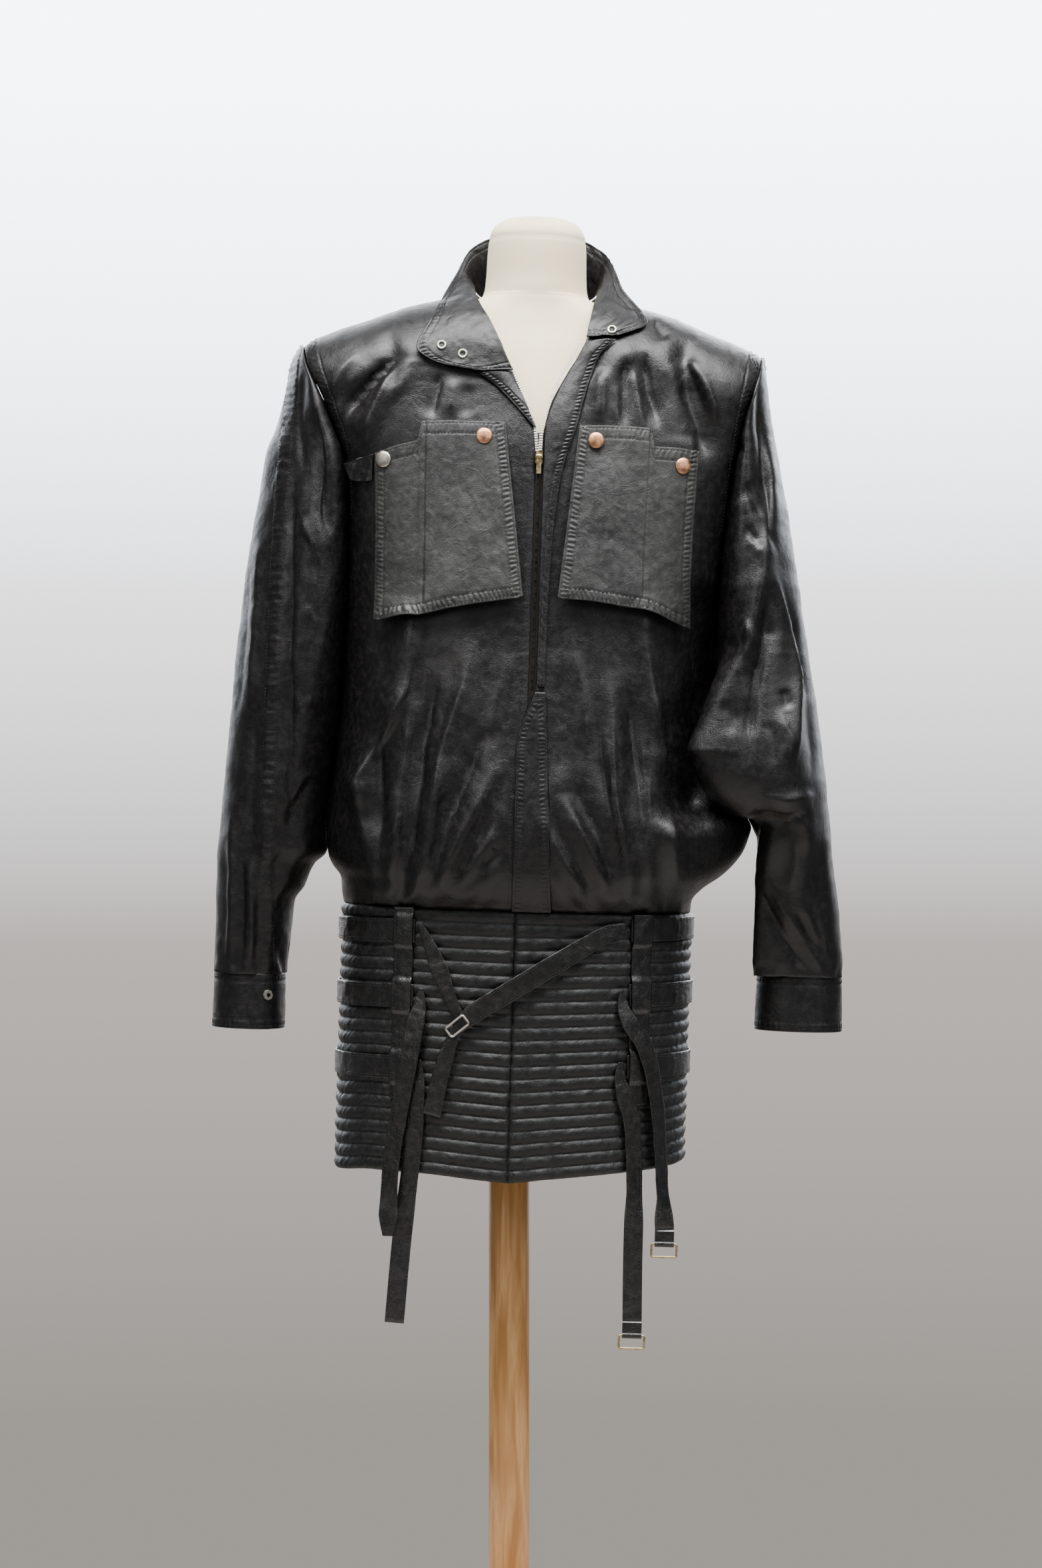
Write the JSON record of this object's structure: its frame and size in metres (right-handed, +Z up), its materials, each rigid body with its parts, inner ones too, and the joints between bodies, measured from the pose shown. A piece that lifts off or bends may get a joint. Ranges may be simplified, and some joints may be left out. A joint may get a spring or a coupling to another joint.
{
  "type": "blouson jacket on a limbless dress form stand",
  "caption": "Long leather blouson with batwing sleeves, chest flaps and a strapped, quilted hip band, worn open at the neck on a dress form on a wooden pole.",
  "frame": {"origin": "middle of the base's underside", "axes": "+Z up, the jacket's front faces -Y, +X to the right as seen from the front"},
  "size_m": [0.6354, 0.38, 1.4998],
  "materials": {
    "leather": "semi-gloss black glove leather with fine grain and soft creases",
    "quilt": "black leather quilted in horizontal ribs, semi-gloss",
    "strap": "black leather straps with stitched edges",
    "tape": "black woven zip tape",
    "jersey": "cream cotton jersey cover of the dress form",
    "pine": "clear-lacquered pine",
    "brass": "dull antique brass",
    "copper": "copper-coloured snap caps",
    "steel": "nickel-plated steel"
  },
  "bodies": {
    "jacket_and_form": {"front_left": "leather", "sleeve_left": "leather", "cuff_left": "leather", "pocket_flap_left": "leather", "flap_tab_left": "leather", "lapel_left": "leather", "front_right": "leather", "sleeve_right": "leather", "cuff_right": "leather", "pocket_flap_right": "leather", "lapel_right": "leather", "back": "leather", "collar": "leather", "zip_tape": "tape", "zip_fly": "leather", "zip_slider": "brass", "band_front_left": "quilt", "band_front_right": "quilt", "band_back": "quilt", "loop_strip_left": "strap", "loop_strip_right": "strap", "hip_strap_top": "strap", "hip_strap_middle": "strap", "hip_strap_low": "strap", "strap_top_left_end": "strap", "strap_top_right_end": "strap", "strap_middle_left_end": "strap", "strap_low_left_end": "strap", "strap_middle_right_end": "strap", "strap_low_right_end": "strap", "centre_buckle": "steel", "strap_fold_middle": "strap", "strap_fold_low": "strap", "snap_left_outer": "steel", "snap_left_inner": "copper", "snap_right_inner": "copper", "snap_right_outer": "copper", "snap_ring_collar_1": "steel", "snap_ring_collar_2": "steel", "snap_ring_collar_3": "steel", "snap_ring_cuff": "steel", "dress_form": "jersey", "pole": "pine", "base": "pine"},
    "pull_tab": {"zip_pull_tab": "brass"},
    "ring_middle": {"ring_buckle_middle": "brass"},
    "ring_low": {"ring_buckle_low": "brass"}
  },
  "joints": [
    {"name": "pull_tab_swing", "type": "hinge", "parent": "jacket_and_form", "child": "pull_tab", "pos_m": [0.02965, -0.12182, 1.24842], "axis": [-0.9995, 0, 0.0305], "range_deg": [0, 150]},
    {"name": "ring_middle_swing", "type": "hinge", "parent": "jacket_and_form", "child": "ring_middle", "pos_m": [0.15303, -0.07969, 0.4754], "axis": [0.9995, 0, -0.0305], "range_deg": [-150, 150]},
    {"name": "ring_low_swing", "type": "hinge", "parent": "jacket_and_form", "child": "ring_low", "pos_m": [0.12041, -0.09895, 0.38835], "axis": [0.9995, 0, -0.0305], "range_deg": [-150, 150]}
  ]
}
